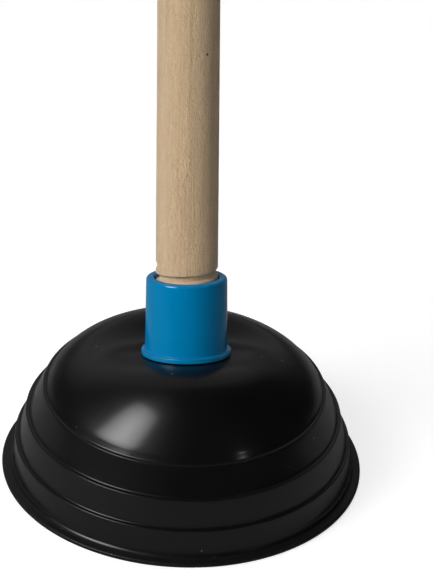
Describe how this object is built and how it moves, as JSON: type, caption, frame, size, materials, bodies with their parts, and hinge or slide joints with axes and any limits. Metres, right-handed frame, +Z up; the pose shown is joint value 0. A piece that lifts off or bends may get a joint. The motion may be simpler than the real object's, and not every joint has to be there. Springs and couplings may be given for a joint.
{
  "type": "sink plunger",
  "caption": "Sink plunger with a stepped black rubber cup, a blue plastic socket on its crown and a round wooden handle that screws in and leans back.",
  "frame": {"origin": "centre of the cup's mouth, in the plane of the lip", "axes": "+Z up along the cup's axis, out of the crown; +Y the way the handle leans; the lip stands on z = 0"},
  "size_m": [0.14, 0.2047, 0.4428],
  "materials": {
    "rubber": "satin moulded",
    "blue_plastic": "glossy moulded",
    "wood": "raw turned beech",
    "zinc_steel": "zinc plated"
  },
  "bodies": {
    "skirt": {"cup_skirt": "rubber"},
    "crown": {"cup_crown": "rubber"},
    "socket": {"socket": "blue_plastic", "clamp_bolt": "zinc_steel", "bolt_washer": "zinc_steel", "backing_washer": "zinc_steel", "lock_washer": "zinc_steel", "clamp_nut": "zinc_steel"},
    "handle": {"handle": "wood"}
  },
  "joints": [
    {"name": "plunge", "type": "slide", "parent": "skirt", "child": "crown", "axis": [0, 0, -1], "range_m": [0, 0.022], "stiffness_N_per_m": 4000, "deforming": ["cup_skirt"]},
    {"name": "lean", "type": "hinge", "parent": "crown", "child": "socket", "pos_m": [0, 0, 0.0522], "axis": [1, 0, 0], "range_deg": [-7, 43], "stiffness_Nm_per_rad": 8, "deforming": ["cup_crown"]},
    {"name": "handle_turn", "type": "hinge", "parent": "socket", "child": "handle", "pos_m": [0, 0, 0.0522], "axis": [0, 0.309, 0.9511], "range_deg": [0, 1350]}
  ]
}
